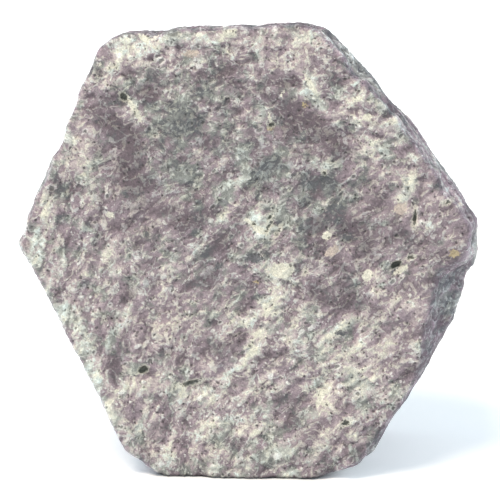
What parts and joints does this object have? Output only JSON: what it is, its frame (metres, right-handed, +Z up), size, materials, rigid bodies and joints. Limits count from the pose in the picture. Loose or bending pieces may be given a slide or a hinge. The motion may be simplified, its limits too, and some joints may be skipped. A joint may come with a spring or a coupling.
{
  "type": "ruby crystal",
  "caption": "Opaque rough ruby crystal, a thick hexagonal plate with worn, pitted faces that stands upright on a flat side face",
  "frame": {"origin": "on the surface that the crystal stands on, under the middle of its bounding box", "axes": "+Z up; the broad front face looks along -Y and leans back 8 degrees; +X to the right as seen from the front"},
  "size_m": [0.0496, 0.0262, 0.0491],
  "materials": {
    "ruby": "rough mauve-grey stone with pale streaks"
  },
  "bodies": {
    "root": {"ruby_crystal": "ruby"}
  },
  "joints": []
}
